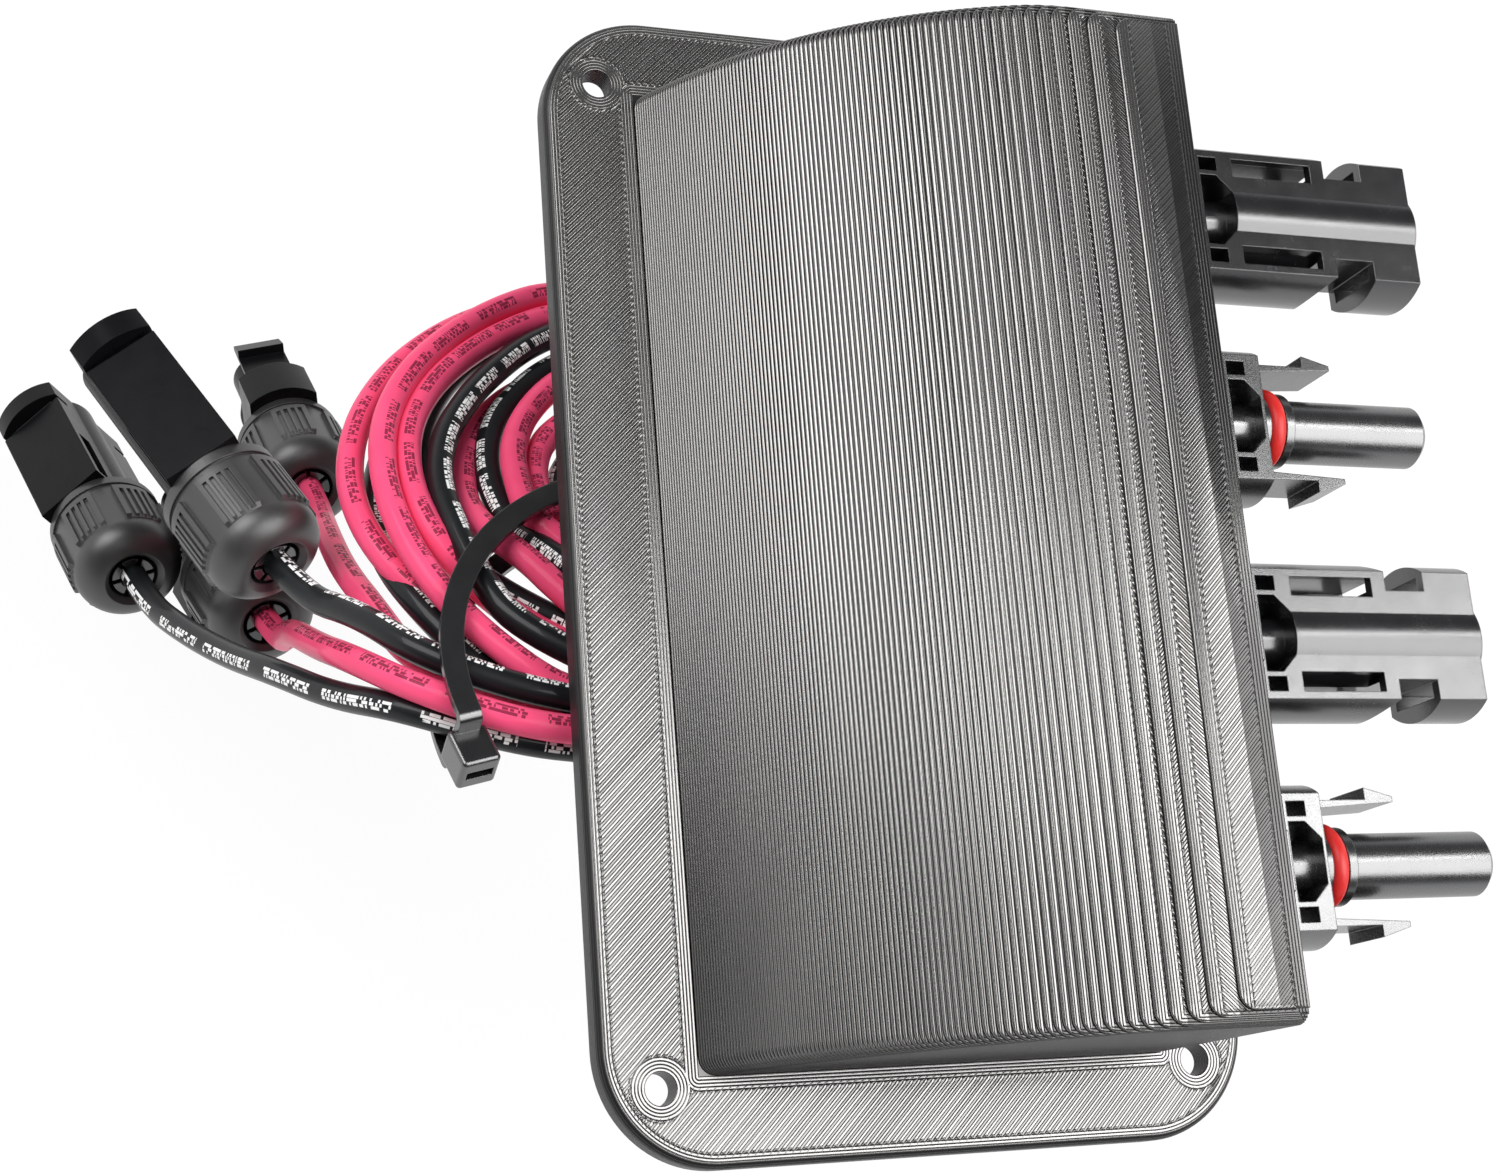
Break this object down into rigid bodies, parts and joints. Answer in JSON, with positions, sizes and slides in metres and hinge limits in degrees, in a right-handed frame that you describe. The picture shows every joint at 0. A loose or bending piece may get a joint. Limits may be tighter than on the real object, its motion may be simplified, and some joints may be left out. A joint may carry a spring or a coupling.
{
  "type": "cable entry box",
  "caption": "Curved printed hood on a four-screw flange, with a row of latching solar connectors in its face and a tied coil of leads, each ending in a mating connector, below.",
  "frame": {"origin": "middle of the four-screw pattern, on the plane that the flange seats on", "axes": "+X out of the connector face, +Y along the row of connectors towards the first one, +Z out of the surface that the box is screwed to"},
  "size_m": [0.1982, 0.1654, 0.1683],
  "materials": {
    "printed_plastic": "layered print, glossy",
    "connector_plastic": "satin moulded",
    "tie_nylon": "smooth",
    "red_rubber": "soft silicone",
    "black_rubber": "matt",
    "tinned_metal": "tinned",
    "pink_lead": "nylon jacket",
    "black_lead": "nylon jacket"
  },
  "bodies": {
    "root": {"cable_tie": "tie_nylon", "end_minus_inner_collet": "connector_plastic", "end_minus_inner_contact": "tinned_metal", "end_minus_inner_gland_nut": "connector_plastic", "end_minus_inner_shell": "connector_plastic", "end_minus_outer_collet": "connector_plastic", "end_minus_outer_contact": "tinned_metal", "end_minus_outer_gland_nut": "connector_plastic", "end_minus_outer_shell": "connector_plastic", "end_plus_inner_collet": "connector_plastic", "end_plus_inner_contact": "tinned_metal", "end_plus_inner_gland_nut": "connector_plastic", "end_plus_inner_seal_ring": "black_rubber", "end_plus_inner_shell": "connector_plastic", "end_plus_outer_collet": "connector_plastic", "end_plus_outer_contact": "tinned_metal", "end_plus_outer_gland_nut": "connector_plastic", "end_plus_outer_seal_ring": "black_rubber", "end_plus_outer_shell": "connector_plastic", "face_plug_2_contact": "tinned_metal", "face_plug_2_face_seal": "black_rubber", "face_plug_2_lock_nut": "connector_plastic", "face_plug_2_seal_ring": "red_rubber", "face_plug_2_shell": "connector_plastic", "face_plug_4_contact": "tinned_metal", "face_plug_4_face_seal": "black_rubber", "face_plug_4_lock_nut": "connector_plastic", "face_plug_4_seal_ring": "red_rubber", "face_plug_4_shell": "connector_plastic", "face_shroud_1_contact": "tinned_metal", "face_shroud_1_face_seal": "black_rubber", "face_shroud_1_lock_nut": "connector_plastic", "face_shroud_1_shell": "connector_plastic", "face_shroud_3_contact": "tinned_metal", "face_shroud_3_face_seal": "black_rubber", "face_shroud_3_lock_nut": "connector_plastic", "face_shroud_3_shell": "connector_plastic", "housing": "printed_plastic", "lead_coil": "pink_lead", "lead_minus_inner_inner_run": "black_lead", "lead_minus_inner_tail": "black_lead", "lead_minus_outer_inner_run": "black_lead", "lead_minus_outer_tail": "black_lead", "lead_plus_inner_inner_run": "pink_lead", "lead_plus_inner_tail": "pink_lead", "lead_plus_outer_inner_run": "pink_lead", "lead_plus_outer_tail": "pink_lead"}
  },
  "joints": []
}
